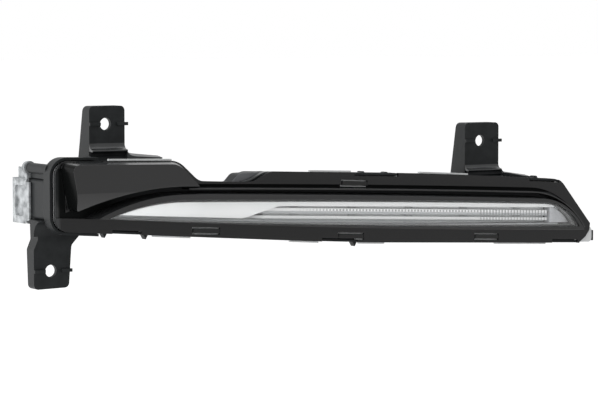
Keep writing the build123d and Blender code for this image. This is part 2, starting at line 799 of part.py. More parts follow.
with BuildPart() as housing:
    with BuildSketch(front(-housing_back)):
        add(grown(-housing_inset))
        add(beyond(body_left, 1), mode=Mode.INTERSECT)
    extrude(amount=housing_back + rim_height)
    with BuildSketch(front(collar_back_height)):
        add(grown(-housing_inset))
        add(beyond(0, -1), mode=Mode.INTERSECT)
    extrude(amount=rim_height - collar_back_height)
    with BuildSketch(front(collar_back_height)):
        add(grown(collar_reach))
        add(beyond(collar_right, -1), mode=Mode.INTERSECT)
    extrude(amount=housing_wall)
    with BuildSketch(front(collar_back_height)):
        add(grown(collar_reach))
        add(grown(collar_gap), mode=Mode.SUBTRACT)
        add(beyond(collar_right, -1), mode=Mode.INTERSECT)
    extrude(amount=collar_lip_height - collar_back_height)
    with BuildSketch(front(-housing_back)):
        with BuildLine():
            FilletPolyline(
                (barrel_left, barrel_top),
                (body_left + housing_wall, barrel_top),
                (body_left + housing_wall, barrel_bottom),
                (barrel_left, barrel_bottom),
                radius=barrel_radius,
                close=True,
            )
        make_face()
    extrude(amount=housing_back + collar_floor)
    with BuildSketch(front(-housing_back)):
        with Locations((sink_boss_x, sink_boss_z)):
            Circle(sink_boss_radius)
            Rectangle(sink_web_width, sink_boss_z - barrel_top, align=(Align.MIN, Align.MAX))
    extrude(amount=housing_back + collar_floor)
    with BuildSketch(front(lug_web_start)):
        for x, foot_z, slope in lug_webs:
            with BuildLine():
                Polyline(
                    (x, foot_z),
                    (x, foot_z + lug_web_rise),
                    (x + lug_web_length, foot_z + slope * lug_web_length),
                    (x + lug_web_length, foot_z - lug_web_rise),
                    (x, foot_z - lug_web_rise),
                    close=True,
                )
            make_face()
    extrude(amount=lug_web_depth)
    add(upper_lug)
    add(right_lug)
    add(lower_lug)
    with BuildSketch(front(fairing_height - fairing_depth)):
        with BuildLine():
            FilletPolyline(
                (waist_end[0] - fairing_run, fairing_foot_z),
                (waist_end[0] - fairing_crest_run, top_start[1] - fairing_crest_drop),
                (fairing_right, top_start[1] - fairing_end_drop),
                (fairing_right, fairing_foot_z),
                radius=fairing_radii,
                close=True,
            )
        make_face()
    extrude(amount=fairing_depth)
    with BuildSketch(front(rim_height - hook_depth)):
        for x, z in top_hooks:
            with Locations((x, z - top_hook_inset)):
                RegularPolygon(top_hook_radius, 6)
        for x in bottom_hooks:
            with Locations((x, bottom_z(x) + bottom_hook_inset)):
                RegularPolygon(bottom_hook_radius, 3, rotation=-90)
        add(grown(-hook_root), mode=Mode.SUBTRACT)
    extrude(amount=hook_depth)
    with BuildSketch(front(rim_height - hook_depth)):
        add(notch_row(notch_block_trim))
        add(grown(-notch_block_inset), mode=Mode.INTERSECT)
        add(grown(-hook_root), mode=Mode.SUBTRACT)
    extrude(amount=hook_depth + flange_height - rim_height + notch_block_rise)
    with BuildSketch(front(rim_height - stop_depth)):
        with Locations((outline_right + stop_reach, end_bottom[1] + stop_rise)):
            Rectangle(housing_inset + 2 * stop_reach, stop_tall, align=(Align.MAX, Align.CENTER))
    extrude(amount=stop_depth)
    with BuildSketch(front(rim_height)):
        with Locations((outline_right + stop_reach, end_bottom[1] + stop_rise)):
            Rectangle(stop_reach + lens_edge_gap - stop_gap, stop_tall, align=(Align.MAX, Align.CENTER))
    extrude(amount=flange_height - rim_height)
    with BuildSketch(front(-floor_y)):
        add(grown(-inside_inset))
        add(beyond(body_left + housing_wall, 1), mode=Mode.INTERSECT)
    extrude(amount=floor_y + rim_height, mode=Mode.SUBTRACT)
    with BuildSketch(front(collar_floor)):
        add(grown(-inside_inset))
        add(beyond(0, -1), mode=Mode.INTERSECT)
    extrude(amount=rim_height - collar_floor, mode=Mode.SUBTRACT)
    with BuildSketch(front(-housing_back)):
        with Locations((barrel_left + housing_wall, barrel_top - housing_wall)):
            Rectangle(
                body_left - barrel_left - housing_wall,
                barrel_top - barrel_bottom - 2 * housing_wall,
                align=(Align.MIN, Align.MAX),
            )
    extrude(amount=housing_back + rim_height, mode=Mode.SUBTRACT)
    with BuildSketch(front(-floor_y)):
        with Locations((body_left - 1, barrel_top - housing_wall)):
            Rectangle(
                2 * housing_wall,
                barrel_top - barrel_bottom - 2 * housing_wall,
                align=(Align.MIN, Align.MAX),
            )
    extrude(amount=floor_y + rim_height, mode=Mode.SUBTRACT)
    with BuildSketch(front(-floor_y)):
        with Locations(*frame_screws):
            Rectangle(frame_boss_side, frame_boss_side)
    extrude(amount=floor_y + collar_floor)
    with BuildSketch(front(-floor_y)):
        with Locations(*sink_screws[1:]):
            Rectangle(sink_boss_side, sink_boss_side)
    extrude(amount=sink_boss_height)
    with BuildSketch(front(-floor_y)):
        with Locations(*driver_screws):
            Rectangle(driver_boss_side, driver_boss_side)
    extrude(amount=floor_y - driver_y - board_thickness)
    with BuildSketch(front(-housing_back)):
        for step in range(back_rib_count):
            with Locations((back_rib_start + step * back_rib_pitch, nose_z)):
                Rectangle(back_rib_width, outline_height)
        with Locations(((body_left + outline_right) / 2, nose_z - 5.0)):
            Rectangle(outline_right, back_rib_width, rotation=back_rib_tilt)
        add(grown(-inside_inset), mode=Mode.INTERSECT)
        add(beyond(body_left + 14.0, 1), mode=Mode.INTERSECT)
        with Locations((connector_x, connector_z)):
            Rectangle(
                connector_width + 2 * back_rib_margin,
                connector_tall + 2 * back_rib_margin,
                mode=Mode.SUBTRACT,
            )
        with Locations((vent_x, vent_z)):
            Circle(vent_port_radius + vent_wall + back_rib_margin, mode=Mode.SUBTRACT)
    extrude(amount=-back_rib_height)
    with BuildSketch(front(-housing_back)):
        with Locations((vent_x, vent_z)):
            Circle(vent_port_radius)
    extrude(amount=-vent_port_length)
    with BuildSketch(front(-housing_back - vent_port_length)):
        with Locations((vent_x, vent_z)):
            Circle(vent_port_radius - vent_wall)
    extrude(amount=vent_port_length + housing_wall, mode=Mode.SUBTRACT)
    with BuildSketch(front(-housing_back)):
        with Locations((connector_x, connector_z)):
            Rectangle(neck_width, neck_tall)
    extrude(amount=housing_wall, mode=Mode.SUBTRACT)
    with BuildSketch(front(collar_floor)):
        with Locations(*frame_screws):
            RegularPolygon(screw_hole_radius, shank_sides)
    extrude(amount=-frame_hole_depth, mode=Mode.SUBTRACT)
    with BuildSketch(front(-housing_back)):
        with Locations(*sink_screws):
            RegularPolygon(screw_hole_radius, shank_sides)
    extrude(amount=sink_hole_depth, mode=Mode.SUBTRACT)
    with BuildSketch(front(-driver_y - board_thickness)):
        with Locations(*driver_screws):
            RegularPolygon(screw_hole_radius, shank_sides)
    extrude(amount=-driver_hole_depth, mode=Mode.SUBTRACT)
save(housing, "housing")

# Inner frame: a plate on the housing bosses with a low wall round the window

frame_front = collar_floor + frame_plate
wall_grow = pocket_grow - lens_clearance - lens_wall - frame_gap

with BuildPart() as inner_frame:
    with BuildSketch(front(collar_floor)):
        add(grown(-inside_inset - fit))
        add(leaf(wall_grow - frame_wall), mode=Mode.SUBTRACT)
    extrude(amount=frame_plate)
    with BuildSketch(front(collar_floor)):
        add(leaf(wall_grow))
        add(leaf(wall_grow - frame_wall), mode=Mode.SUBTRACT)
    extrude(amount=blade_height - collar_floor)
    with BuildSketch(front(collar_floor)):
        with Locations(*frame_screws):
            RegularPolygon(screw_hole_radius + screw_clearance, shank_sides)
    extrude(amount=frame_plate, mode=Mode.SUBTRACT)
save(inner_frame, "inner_frame")

# Screws: a hexagon head on a plain shank; side is 1 for a head at the front, -1 at the back


def screws(places, seat_height, head, shank_radius, length, side=1):
    """A group of screws seated at a height; head is the head's radius and thickness."""
    head_radius, head_height = head
    with BuildPart(mode=Mode.PRIVATE) as group:
        with BuildSketch(front(seat_height)):
            with Locations(*places):
                RegularPolygon(head_radius, head_sides)
        extrude(amount=side * head_height)
        with BuildSketch(front(seat_height)):
            with Locations(*places):
                RegularPolygon(shank_radius, shank_sides)
        extrude(amount=-side * length)
    return group.part


with BuildPart() as frame_fixings:
    add(screws(frame_screws, frame_front, frame_screw_head, screw_shank_radius, frame_screw_length))
save(frame_fixings, "frame_screws")

# Optics. Both guides start at the LED board, run right behind the wing, rise into the
# dome under the blade and end at the right of the window

guide_mid_y = -guide_back_height - guide_depth / 2
led_face_y = led_board_y - led_height
guide_places = [
    ("upper_light_guide", upper_guide_z, upper_guide_height, upper_teeth_x),
    ("lower_light_guide", lower_guide_z, lower_guide_height, lower_teeth_x),
]
strip_angle = math.degrees(math.atan(strip_slope))


def strip_plane(level):
    """Plane along the guides: x follows their slope, y runs back, its normal points up."""
    return Plane(
        origin=(guide_anchor_x, 0, level),
        x_dir=(1, 0, -strip_slope),
        z_dir=(strip_slope, 0, 1),
    )


def light_guide(level, height, teeth_x):
    """A clear bar with a row of prisms cut into its back, from teeth_x to its end."""
    teeth_left = teeth_x - guide_anchor_x
    teeth = [(teeth_left, -guide_back_height)]
    for step in range(int((guide_end_x - teeth_x) / tooth_pitch)):
        teeth.append((teeth_left + (step + 0.5) * tooth_pitch, -guide_back_height - tooth_depth))
        teeth.append((teeth_left + (step + 1.0) * tooth_pitch, -guide_back_height))
    teeth_right = teeth[-1][0]
    with BuildPart(mode=Mode.PRIVATE) as bar:
        with BuildSketch(strip_plane(level - height / 2)):
            with BuildLine():
                FilletPolyline(
                    (guide_feed_x - guide_anchor_x, led_face_y - fit),
                    (guide_feed_x - guide_anchor_x, guide_feed_y),
                    (guide_rise_x - guide_anchor_x, guide_feed_y),
                    (guide_full_x - guide_anchor_x, guide_mid_y),
                    (guide_end_x - guide_anchor_x, guide_mid_y),
                    radius=guide_bend_radius,
                )
            trace(line_width=guide_depth)
        extrude(amount=height)
        with BuildSketch(strip_plane(level - height / 2)):
            with BuildLine():
                Polyline(
                    (teeth_right, -guide_back_height + 1),
                    (teeth_left, -guide_back_height + 1),
                    *teeth,
                    close=True,
                )
            make_face()
        extrude(amount=height, mode=Mode.SUBTRACT)
    return bar.part


for label, level, height, teeth_x in guide_places:
    with BuildPart() as guide:
        add(light_guide(level, height, teeth_x))
    save(guide, label)

# Fluted reflector behind the guides, open where they rise through it

reflector_front = reflector_height + reflector_thickness
reflector_grow = wall_grow - frame_wall - fit
guides_top = upper_guide_z + upper_guide_height / 2
guides_bottom = lower_guide_z - lower_guide_height / 2
slot_left = guide_rise_x - slot_before
slot_right = guide_full_x + slot_after
slot_x = (slot_left + slot_right) / 2
flute_x = guide_anchor_x - flute_shift

with BuildPart() as reflector:
    with BuildSketch(front(reflector_height)):
        add(leaf(reflector_grow))
        add(beyond(guide_end_x + 1.0, -1), mode=Mode.INTERSECT)
    extrude(amount=reflector_thickness)
    with BuildSketch(front(reflector_front)):
        for step in range(flute_count):
            with Locations((flute_x, strip_z(flute_x, guides_bottom) - flute_offset - step * flute_pitch)):
                Rectangle(outline_right, flute_width, rotation=-strip_angle)
        add(leaf(reflector_grow), mode=Mode.INTERSECT)
        add(beyond(guide_end_x + 1.0, -1), mode=Mode.INTERSECT)
    extrude(amount=flute_height)
    with BuildSketch(front(reflector_height)):
        with Locations((slot_x, strip_z(slot_x, guides_top) + slot_margin)):
            Rectangle(
                slot_right - slot_left,
                slot_height,
                rotation=-strip_angle,
                align=(Align.CENTER, Align.MAX),
            )
    extrude(amount=2 * reflector_thickness, mode=Mode.SUBTRACT)
save(reflector, "fluted_reflector")

# Bright blade over the guides, tapering into a narrow strip

blade_right = guide_end_x + blade_end
blade_left = nose_x - 10.0
shoulder_fall = (shoulder_z - crown_z) / (shoulder_x - crown_x)
step_bottom = crown_z + (blade_step_x - crown_x) * shoulder_fall - blade_shrink - blade_strip_width
blade_radii = [blade_tip_radius, blade_waist_radius, blade_step_radius] + 3 * [blade_tip_radius]
right_bottom = step_bottom + (blade_right - blade_step_x) * shoulder_fall

with BuildPart() as blade:
    with BuildSketch(front(blade_height)):
        add(leaf(-blade_shrink))
        with BuildLine():
            FilletPolyline(
                (blade_left, blade_tip_z + blade_shrink),
                (blade_waist_x, blade_waist_z),
                (blade_step_x, step_bottom),
                (blade_right, right_bottom),
                (blade_right, right_bottom - outline_height),
                (blade_left, right_bottom - outline_height),
                radius=blade_radii,
                close=True,
            )
        make_face(mode=Mode.SUBTRACT)
        add(beyond(blade_right, -1), mode=Mode.INTERSECT)
    extrude(amount=blade_thickness)
save(blade, "blade_reflector")

with BuildPart() as end_reflector:
    with BuildSketch(front(guide_back_height)):
        add(leaf(reflector_grow))
        add(beyond(guide_end_x + 1.0 + fit, 1), mode=Mode.INTERSECT)
    extrude(amount=blade_height - fit - guide_back_height)
save(end_reflector, "end_reflector")

# Clips that hold both guides on the reflector

clip_span = upper_guide_z - lower_guide_z + (upper_guide_height + lower_guide_height) / 2
clip_pitch = (guide_end_x - slot_right) / clip_count

with BuildPart() as clips:
    for step in range(clip_count):
        x = slot_right + (step + 0.5) * clip_pitch
        level = strip_z(x, (guides_top + guides_bottom) / 2)
        with BuildSketch(front(reflector_front)):
            with Locations((x, level)):
                Rectangle(clip_width, clip_span + 2 * clip_margin, rotation=-strip_angle)
            for flute in range(flute_count):
                with Locations((x, strip_z(x, guides_bottom) - flute_offset - flute * flute_pitch)):
                    Rectangle(
                        2 * clip_width,
                        flute_pitch - fit,
                        rotation=-strip_angle,
                        mode=Mode.SUBTRACT,
                    )
        extrude(amount=guide_back_height - reflector_front - clip_gap)
save(clips, "guide_clips")

# LED board on its pad, and the LEDs in line with the guides

board_left = barrel_left + housing_wall + board_gap
board_right = body_left - board_gap
board_top = barrel_top - housing_wall - board_gap
board_bottom = barrel_bottom + housing_wall + board_gap / 2
board_x = (board_left + board_right) / 2
board_z = (board_top + board_bottom) / 2
pad_y = led_board_y + board_thickness
pedestal_y = pad_y + pad_thickness
sink_y = housing_back + gasket_thickness
gasket_width = body_left + housing_wall - barrel_left - 2 * gasket_margin
gasket_tall = barrel_top - barrel_bottom - 2 * gasket_margin
led_screws = [
    (board_left + led_screw_inset, board_top - led_screw_inset),
    (board_right - led_screw_inset, board_top - led_screw_inset),
]
pad_width = board_right - board_left - 2 * pad_inset
pad_tall = board_top - board_bottom - 2 * pad_inset

with BuildPart() as led_board:
    with BuildSketch(front(-pad_y)):
        with Locations((board_x, board_z)):
            Rectangle(board_right - board_left, board_top - board_bottom)
        with Locations(*led_screws):
            RegularPolygon(led_hole_radius, shank_sides, mode=Mode.SUBTRACT)
    extrude(amount=board_thickness)
save(led_board, "led_board")

with BuildPart() as leds:
    with BuildSketch(front(-led_board_y)):
        for label, level, height, teeth_x in guide_places:
            with Locations((guide_feed_x, strip_z(guide_feed_x, level))):
                Rectangle(led_width, min(height, led_tall) - led_margin)
    extrude(amount=led_board_y - led_face_y)
save(leds, "guide_leds")

with BuildPart() as pad:
    with BuildSketch(front(-pedestal_y)):
        with Locations((board_x, board_z)):
            Rectangle(pad_width, pad_tall)
        with Locations((board_left, board_top), (board_right, board_top)):
            Rectangle(2 * pad_notch, 2 * pad_notch, mode=Mode.SUBTRACT)
    extrude(amount=pad_thickness)
save(pad, "thermal_pad")

with BuildPart() as led_fixings:
    add(screws(led_screws, -led_board_y, led_screw_head, led_screw_radius, led_screw_length))
save(led_fixings, "led_board_screws")

# Gasket and die-cast heat sink on the back of the barrel

with BuildPart() as gasket:
    with BuildSketch(front(-sink_y)):
        with Locations(((barrel_left + body_left + housing_wall) / 2, (barrel_top + barrel_bottom) / 2)):
            Rectangle(gasket_width, gasket_tall)
            Rectangle(
                gasket_width - 2 * gasket_band,
                gasket_tall - 2 * gasket_band,
                mode=Mode.SUBTRACT,
            )
    extrude(amount=gasket_thickness)
save(gasket, "heat_sink_gasket")

fin_pitch = (body_left - sink_left - fin_width) / (fin_count - 1)
slot_gap = fin_pitch - fin_width
sink_middle = (sink_top + sink_bottom) / 2
panel_length = sink_depth - 2 * panel_margin_y
panel_tall = sink_top - sink_bottom - 2 * panel_margin_z

with BuildPart() as sink:
    with BuildSketch(front(-sink_y)):
        with Locations(((sink_left + sink_right) / 2, sink_middle)):
            RectangleRounded(sink_right - sink_left, sink_top - sink_bottom, sink_corner_radius)
        with Locations((sink_boss_x, sink_boss_z)):
            Circle(ear_radius)
        with Locations((sink_boss_x + ear_neck_shift, sink_top)):
            Rectangle(ear_neck_width, ear_neck_height)
    extrude(amount=-sink_flange)
    with BuildSketch(front(-sink_y - sink_flange)):
        with Locations((sink_left, sink_middle)):
            Rectangle(body_left - sink_left, sink_top - sink_bottom, align=(Align.MIN, Align.CENTER))
    extrude(amount=-(sink_depth - sink_flange))
    with BuildSketch(front(-sink_y - sink_flange - sink_block_start)):
        with Locations((sink_left + sink_block_left, sink_top)):
            Rectangle(sink_block_width, sink_block_height, align=(Align.MIN, Align.MIN))
    extrude(amount=-(sink_depth - sink_flange - sink_block_start - sink_block_end))
    with BuildSketch(front(-sink_y - sink_flange - slot_start)):
        for step in range(fin_count - 1):
            with Locations((sink_left + fin_width + slot_shift + step * fin_pitch, sink_middle)):
                Rectangle(slot_gap - slot_trim, slot_length, align=(Align.MIN, Align.CENTER))
    extrude(amount=-sink_depth, mode=Mode.SUBTRACT)
    with BuildSketch(Plane.YZ.offset(sink_left)):
        with Locations((sink_y + sink_depth / 2, sink_middle)):
            RectangleRounded(panel_length, panel_tall, panel_radius)
    extrude(amount=panel_depth, mode=Mode.SUBTRACT)
    with BuildSketch(front(-pedestal_y)):
        with Locations((board_x, board_z)):
            Rectangle(pad_width, pad_tall)
    extrude(amount=-(sink_y - pedestal_y))
    with BuildSketch(front(-pedestal_y)):
        with Locations(*led_screws):
            RegularPolygon(led_boss_hole_radius, shank_sides)
    extrude(amount=-led_boss_hole_depth, mode=Mode.SUBTRACT)
    with BuildSketch(front(-sink_y)):
        with Locations(*sink_screws):
            RegularPolygon(screw_hole_radius + screw_clearance, shank_sides)
    extrude(amount=-sink_flange, mode=Mode.SUBTRACT)
    with BuildSketch(front(-sink_y - sink_rim_margin)):
        with Locations((sink_left, sink_middle)):
            Rectangle(
                sink_rim_width,
                sink_top - sink_bottom - 2 * sink_rim_margin,
                align=(Align.MIN, Align.CENTER),
            )
    extrude(amount=sink_rim_margin + sink_rim_reach)
save(sink, "heat_sink")

sink_screw_length = sink_flange + gasket_thickness + sink_screw_bite
sink_seat = -sink_y - sink_flange

with BuildPart() as sink_fixings:
    add(screws(sink_screws, sink_seat, sink_screw_head, screw_shank_radius, sink_screw_length, -1))
save(sink_fixings, "heat_sink_screws")

# Driver board, its parts, its screws and the flat lead to the LED board

with BuildPart() as driver_board:
    with BuildSketch(front(-driver_y - board_thickness)):
        with Locations((driver_left + driver_length / 2, driver_z)):
            Rectangle(driver_length, driver_height)
        with Locations(*driver_screws):
            RegularPolygon(screw_hole_radius + screw_clearance, shank_sides, mode=Mode.SUBTRACT)
    extrude(amount=board_thickness)
save(driver_board, "driver_board")

with BuildPart() as driver_fixings:
    add(screws(driver_screws, -driver_y, driver_screw_head, screw_shank_radius, driver_screw_length))
save(driver_fixings, "driver_board_screws")

with BuildPart() as driver_parts:
    for x, z, width, tall, height in driver_blocks:
        with BuildSketch(front(-driver_y)):
            with Locations((driver_left + x, driver_z + z)):
                Rectangle(width, tall)
        extrude(amount=height)
    with BuildSketch(front(-driver_y)):
        for z in driver_can_levels:
            with Locations((driver_left + driver_length - driver_can_inset, driver_z + z)):
                Rectangle(can_side, can_side)
    extrude(amount=can_height)
save(driver_parts, "driver_parts")

lead_z = board_z + lead_rise

with BuildPart() as lead:
    with BuildSketch(Plane.XY.offset(lead_z - lead_width / 2)):
        with BuildLine():
            FilletPolyline(
                (board_right - lead_bend, led_board_y - lead_thickness / 2),
                (board_right + lead_tuck, led_board_y - lead_thickness / 2),
                (driver_left - lead_bend, driver_y - lead_thickness / 2),
                (driver_left + lead_run, driver_y - lead_thickness / 2),
                radius=lead_bend,
            )
        trace(line_width=lead_thickness)
    extrude(amount=lead_width)
save(lead, "board_lead")

# Connector socket through the back wall, its pins and its seal

socket_start = driver_y + board_thickness
socket_end = housing_back + connector_depth
pin_places = [connector_x + (step - (pin_count - 1) / 2) * pin_pitch for step in range(pin_count)]

with BuildPart() as socket:
    with BuildSketch(front(-housing_back - gasket_thickness)):
        with Locations((connector_x, connector_z)):
            RectangleRounded(connector_width, connector_tall, connector_radius)
    extrude(amount=-(connector_depth - gasket_thickness))
    with BuildSketch(front(-housing_back - connector_floor)):
        with Locations((connector_x, connector_z)):
            RectangleRounded(
                connector_width - 2 * connector_wall,
                connector_tall - 2 * connector_wall,
                connector_radius / 2,
            )
    extrude(amount=-connector_depth, mode=Mode.SUBTRACT)
    with BuildSketch(front(-socket_start)):
        with Locations((connector_x, connector_z)):
            Rectangle(neck_width - 2 * fit, neck_tall - 2 * fit)
    extrude(amount=-(housing_back + connector_floor - socket_start))
    with BuildSketch(front(-housing_back - latch_start)):
        with Locations((connector_x, connector_z + connector_tall / 2)):
            Rectangle(latch_width, 2 * latch_height)
            Rectangle(latch_width, connector_wall, align=(Align.CENTER, Align.MAX), mode=Mode.SUBTRACT)
    extrude(amount=-latch_length)
    with BuildSketch(front(-socket_start)):
        for x in pin_places:
            with Locations((x, connector_z)):
                Rectangle(pin_side + pin_gap, pin_side + pin_gap)
    extrude(amount=-connector_depth, mode=Mode.SUBTRACT)
save(socket, "connector_socket")

with BuildPart() as pins:
    with BuildSketch(front(-socket_start)):
        for x in pin_places:
            with Locations((x, connector_z)):
                Rectangle(pin_side, pin_side)
    extrude(amount=-(socket_end - pin_recess - socket_start))
save(pins, "connector_pins")

with BuildPart() as socket_seal:
    with BuildSketch(front(-housing_back)):
        with Locations((connector_x, connector_z)):
            RectangleRounded(
                connector_width - 2 * connector_seal_margin,
                connector_tall - 2 * connector_seal_margin,
                connector_radius,
            )
            Rectangle(neck_width + pin_gap, neck_tall + pin_gap, mode=Mode.SUBTRACT)
    extrude(amount=-gasket_thickness)
save(socket_seal, "connector_seal")

# Vent: a membrane over the port's end and a cap over both

port_end = housing_back + vent_port_length
cap_bore = vent_port_radius + cap_gap

with BuildPart() as membrane:
    with BuildSketch(front(-port_end)):
        with Locations((vent_x, vent_z)):
            Circle(vent_port_radius - membrane_margin)
    extrude(amount=-membrane_thickness)
save(membrane, "vent_membrane")

with BuildPart() as cap:
    with BuildSketch(front(-housing_back - cap_lift)):
        with Locations((vent_x, vent_z)):
            Circle(cap_bore + vent_wall)
    extrude(amount=-(vent_port_length - cap_lift + membrane_thickness + cap_gap + cap_roof))
    with BuildSketch(front(-housing_back - cap_lift)):
        with Locations((vent_x, vent_z)):
            Circle(cap_bore)
    extrude(amount=-(vent_port_length - cap_lift + membrane_thickness + cap_gap), mode=Mode.SUBTRACT)
    with BuildSketch(front(-housing_back - cap_lift)):
        with Locations((vent_x, vent_z)):
            Rectangle(cap_slot, 4 * vent_port_radius)
    extrude(amount=-cap_slot, mode=Mode.SUBTRACT)
save(cap, "vent_cap")
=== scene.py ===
import math
import bmesh
import bpy
import numpy as np
from mathutils import Matrix, Vector


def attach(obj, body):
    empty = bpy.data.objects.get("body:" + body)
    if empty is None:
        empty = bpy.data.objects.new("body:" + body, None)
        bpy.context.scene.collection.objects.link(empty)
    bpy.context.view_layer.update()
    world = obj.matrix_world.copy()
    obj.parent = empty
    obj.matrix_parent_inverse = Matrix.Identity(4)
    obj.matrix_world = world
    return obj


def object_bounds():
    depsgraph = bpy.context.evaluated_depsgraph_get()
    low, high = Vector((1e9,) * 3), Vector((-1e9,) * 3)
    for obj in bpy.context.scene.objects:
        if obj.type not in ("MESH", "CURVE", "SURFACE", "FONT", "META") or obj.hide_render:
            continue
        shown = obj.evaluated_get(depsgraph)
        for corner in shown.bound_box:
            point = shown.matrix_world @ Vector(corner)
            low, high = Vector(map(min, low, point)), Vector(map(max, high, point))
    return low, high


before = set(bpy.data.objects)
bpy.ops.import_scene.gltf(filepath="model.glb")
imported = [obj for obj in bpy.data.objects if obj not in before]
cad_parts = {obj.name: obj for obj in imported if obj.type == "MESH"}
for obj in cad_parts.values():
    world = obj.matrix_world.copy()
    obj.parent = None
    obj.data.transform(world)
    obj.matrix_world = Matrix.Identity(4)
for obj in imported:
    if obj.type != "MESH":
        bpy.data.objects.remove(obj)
cad_box = [list(corner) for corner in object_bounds()]

MM = 0.001
BODY = "root"

# Camera of the photograph: its frame, where the lamp's origin lies in it and how far away
PHOTO_WIDTH, PHOTO_HEIGHT = 598, 400
ORIGIN_PIXEL = (105.5, 124.0)
ORIGIN_DISTANCE = 1.495
VIEW_AZIMUTH = math.radians(-32)
VIEW_ELEVATION = math.radians(4)
SENSOR_WIDTH = 36.0
FOCAL_LENGTH = 148.2

# Stage: the floor, how much of its white and of the room's is light of its own, and for each softbox
# its place, its width and height, and its power
FLOOR_DROP = 0.30
FLOOR_SIZE = 60.0
FLOOR_ROUGHNESS = 0.9
FLOOR_GLOW = 0.50
ROOM_LEVEL = 0.55
SOFTBOXES = {
    "left_softbox": ((-1.7, -0.9, 0.9), (2.4, 2.0), 36.0),
    "top_softbox": ((0.2, 0.35, 1.5), (2.4, 1.4), 22.0),
    "rear_softbox": ((-1.1, 1.6, 0.2), (1.3, 1.2), 7.0),
}

# Places on the lamp that its finishes follow, in metres: the surround
FLANGE_BACK_Y, FLANGE_FRONT_Y = -0.0185, -0.0205
CHANNEL_FLOOR_Y = -0.0192
CHANNEL_WIDE_X, CHANNEL_NARROW_X = -0.010, 0.015
GROOVE_FOOT_Z = -0.0455
WING_SIDE_X = -0.034
LEFT_RIM_X, RIM_FADE = -0.0414, 0.0009
# The lens, from whose rim backwards it is painted milky, and the front of the fairing behind the waist,
# which is painted lighter
LENS_RIM_Y = -0.0186
FAIRING_FRONT_Y = -0.014
FAIRING_LEFT_X, FAIRING_RIGHT_X = 0.079, 0.109
# The inner frame's low wall and the end of its run of painted reflection, and the run on which the
# blade's film thins
FRAME_WALL_Y = -0.0142
FRAME_BRIGHT_X = 0.326
BLADE_NOSE_X, BLADE_PLAIN_X = 0.010, 0.055
# The light guides, which rise along one slope, and the reflector's reach from the lower guide's line
GUIDE_ANCHOR_X, GUIDE_SLOPE = 0.190, 0.046
UPPER_GUIDE_Z, UPPER_GUIDE_HALF = -0.0591, 0.0019
LOWER_GUIDE_Z, LOWER_GUIDE_HALF = -0.0632, 0.0010
REFLECTOR_FOOT, REFLECTOR_TOP = -0.0062, 0.0042
# The prisms are 1.9 mm apart, and drawn coarser so that they show at the size of the render
TOOTH_PITCH = 0.0025
TEETH_TALL = 0.0013
TEETH_SHOW_X, TEETH_CLEAR_X, TEETH_FULL_X = 0.118, 0.150, 0.262
# How far to each side of a flat face its own finish reaches
FACE_SLACK, FRONT_SLACK = 0.0003, 0.0002

# Noise values between which a finish goes from its dark to its light shade, and the grain on it
PATCH_LOW, PATCH_HIGH, PATCH_DETAIL = 0.32, 0.68, 3.0
GRAIN_DETAIL, GRAIN_STRENGTH = 2.0, 0.6
# Rounded edges: their usual radius in millimetres, the rays that feel for them, and the cosines at
# which one begins and is whole
EDGE_RADIUS = 0.35
EDGE_RAYS = 4
EDGE_BEGINS, EDGE_WHOLE = 0.995, 0.9
# Part of a normal past which a face counts as a side or as looking up
STEEP = 0.5

# How much painted milky light the lens takes on its side walls, its edges and its rim, and how rough milk
# makes it
WALL_MILK, EDGE_MILK, RIM_MILK = 0.16, 0.75, 0.85
MILKY_ROUGHNESS = 0.4
# Specular levels of the surround: in the gloss, how much less on the satin flange, the share of it
# that dull faces lose where shade is painted, how dull faces that look up are where top light is
# painted, and how strongly its edges show the painted highlight lines
GLOSS_LEVEL, SATIN_LOSS, DULL_LOSS = 0.45, 0.16, 0.95
UPWARD_DULLNESS = 0.75
PAINTED_EDGE_HIGHLIGHT = 0.7
# How dark the prisms are in the upper guide's row and where they fill a guide, how far the
# reflector's streaks show over its painted reflection bands, and the blade's film at its nose and past it
ROW_TEETH, FULL_TEETH = 0.55, 0.45
STREAKS = 0.2
THICK_FILM, THIN_FILM = 0.9, 0.15


# Node trees


def linear(colour):
    """A colour written as sRGB hex, as linear red, green, blue and a full alpha."""
    channels = [int(colour[i : i + 2], 16) / 255 for i in (1, 3, 5)]
    return [c / 12.92 if c <= 0.04045 else ((c + 0.055) / 1.055) ** 2.4 for c in channels] + [1.0]


def add(tree, kind, feeds=None, out=0, **settings):
    """One output of a new node, or the node itself where out is None.

    Feeds gives its inputs, each as a value or as the output that feeds it, and settings its properties.
    """
    made = tree.nodes.new("ShaderNode" + kind)
    for name, value in settings.items():
        setattr(made, name, value)
    for name, part in (feeds or {}).items():
        if isinstance(part, bpy.types.NodeSocket):
            tree.links.new(part, made.inputs[name])
        else:
            made.inputs[name].default_value = part
    return made if out is None else made.outputs[out]


def new_material(name):
    """An empty material and its node tree."""
    material = bpy.data.materials.new(name)
    material.use_nodes = True
    material.node_tree.nodes.clear()
    return material, material.node_tree


def joined(tree, how, *shares):
    """Shares joined in turn: MULTIPLY leaves where all of them lie, and MAXIMUM where any does."""
    whole = shares[0]
    for share in shares[1:]:
        whole = add(tree, "Math", {0: whole, 1: share}, operation=how)
    return whole


def between(tree, value, low, high):
    """1 where value lies between low and high, and 0 elsewhere."""
    middle, half = (low + high) / 2, (high - low) / 2
    return add(tree, "Math", {0: value, 1: middle, 2: half}, operation="COMPARE")


def above_line(tree, axes, level):
    """Height above a line along the light guides that passes a given level."""
    run = add(tree, "Math", {0: axes["X"], 1: GUIDE_ANCHOR_X}, operation="SUBTRACT")
    line = add(tree, "Math", {0: run, 1: GUIDE_SLOPE, 2: -level}, operation="MULTIPLY_ADD")
    return add(tree, "Math", {0: axes["Z"], 1: line}, operation="ADD")


